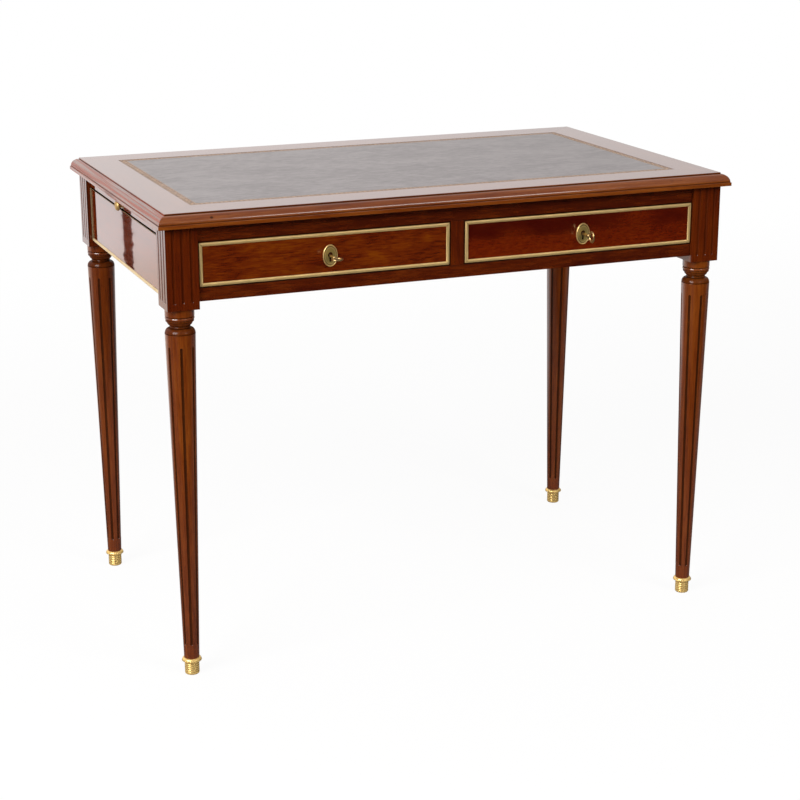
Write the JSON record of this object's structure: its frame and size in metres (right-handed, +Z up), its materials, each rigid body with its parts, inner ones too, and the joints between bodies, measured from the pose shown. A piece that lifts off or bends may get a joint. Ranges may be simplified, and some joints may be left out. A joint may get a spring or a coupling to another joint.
{
  "type": "writing desk",
  "caption": "Antique style writing desk: leather top with moulded border, lockable drawers side by side, brass trimmed fronts, pull-out side slides, fluted tapered legs in brass foot cups.",
  "frame": {"origin": "on the floor, below the middle of the top", "axes": "+X to the sitter's right, along the desk; +Y from the drawer side to the back; +Z up"},
  "size_m": [1, 0.6231, 0.77],
  "materials": {
    "mahogany": "french polished, reddish brown",
    "drawer_veneer": "french polished veneer with a ribbon stripe",
    "drawer_lining": "waxed pale oak",
    "carcase_wood": "planed, unfinished",
    "top_leather": "waxed, with a tooled gilt border",
    "polished_brass": "polished",
    "lock_brass": "satin",
    "key_steel": "worn, warm grey"
  },
  "bodies": {
    "frame": {"front_left_leg": "mahogany", "front_right_leg": "mahogany", "back_left_leg": "mahogany", "back_right_leg": "mahogany", "front_left_sabot": "polished_brass", "front_right_sabot": "polished_brass", "back_left_sabot": "polished_brass", "back_right_sabot": "polished_brass", "front_upper_rail": "mahogany", "front_lower_rail": "mahogany", "drawer_divider": "mahogany", "back_apron": "mahogany", "left_side_apron": "mahogany", "right_side_apron": "mahogany", "top_front_border": "mahogany", "top_right_border": "mahogany", "top_back_border": "mahogany", "top_left_border": "mahogany", "left_side_brass_frame": "polished_brass", "right_side_brass_frame": "polished_brass", "back_brass_frames": "polished_brass", "centre_drawer_runner": "carcase_wood", "side_drawer_runners": "carcase_wood", "centre_drawer_guide": "carcase_wood", "side_drawer_guides": "carcase_wood", "drawer_stops": "carcase_wood", "centre_kicker": "carcase_wood", "side_kickers": "carcase_wood", "centre_bearer": "carcase_wood", "left_slide_guides": "carcase_wood", "right_slide_guides": "carcase_wood", "slide_packing_strips": "carcase_wood", "top_glue_blocks": "carcase_wood", "top_core_panel": "carcase_wood", "writing_leather": "top_leather"},
    "left_drawer": {"left_drawer_front": "drawer_veneer", "left_drawer_sides": "drawer_lining", "left_drawer_back": "drawer_lining", "left_drawer_bottom": "drawer_lining", "left_drawer_brass_frame": "polished_brass", "left_escutcheon": "polished_brass", "left_lock_case": "lock_brass"},
    "left_writing_slide": {"left_writing_slide": "mahogany", "left_slide_knob": "polished_brass"},
    "left_key": {"left_key": "key_steel"},
    "left_bolt": {"left_lock_bolt": "key_steel"},
    "right_drawer": {"right_drawer_front": "drawer_veneer", "right_drawer_sides": "drawer_lining", "right_drawer_back": "drawer_lining", "right_drawer_bottom": "drawer_lining", "right_drawer_brass_frame": "polished_brass", "right_escutcheon": "polished_brass", "right_lock_case": "lock_brass"},
    "right_writing_slide": {"right_writing_slide": "mahogany", "right_slide_knob": "polished_brass"},
    "right_key": {"right_key": "key_steel"},
    "right_bolt": {"right_lock_bolt": "key_steel"}
  },
  "joints": [
    {"name": "left_drawer_slide", "type": "slide", "parent": "frame", "child": "left_drawer", "axis": [0, -1, 0], "range_m": [0, 0.33]},
    {"name": "right_drawer_slide", "type": "slide", "parent": "frame", "child": "right_drawer", "axis": [0, -1, 0], "range_m": [0, 0.33]},
    {"name": "left_writing_slide_travel", "type": "slide", "parent": "frame", "child": "left_writing_slide", "axis": [-1, 0, 0], "range_m": [0, 0.3]},
    {"name": "right_writing_slide_travel", "type": "slide", "parent": "frame", "child": "right_writing_slide", "axis": [1, 0, 0], "range_m": [0, 0.3]},
    {"name": "left_key_turn", "type": "hinge", "parent": "left_drawer", "child": "left_key", "pos_m": [-0.219, -0.282, 0.68375], "axis": [0, 1, 0], "range_deg": [0, 180]},
    {"name": "right_key_turn", "type": "hinge", "parent": "right_drawer", "child": "right_key", "pos_m": [0.228, -0.282, 0.68375], "axis": [0, 1, 0], "range_deg": [0, 180]},
    {"name": "left_bolt_throw", "type": "slide", "parent": "left_drawer", "child": "left_bolt", "axis": [0, 0, 1], "range_m": [0, 0.007]},
    {"name": "right_bolt_throw", "type": "slide", "parent": "right_drawer", "child": "right_bolt", "axis": [0, 0, 1], "range_m": [0, 0.007]}
  ],
  "couplings": [
    {"joint": "left_bolt_throw", "follows": "left_key_turn", "m_per_rad": 0.0022282},
    {"joint": "right_bolt_throw", "follows": "right_key_turn", "m_per_rad": 0.0022282}
  ]
}
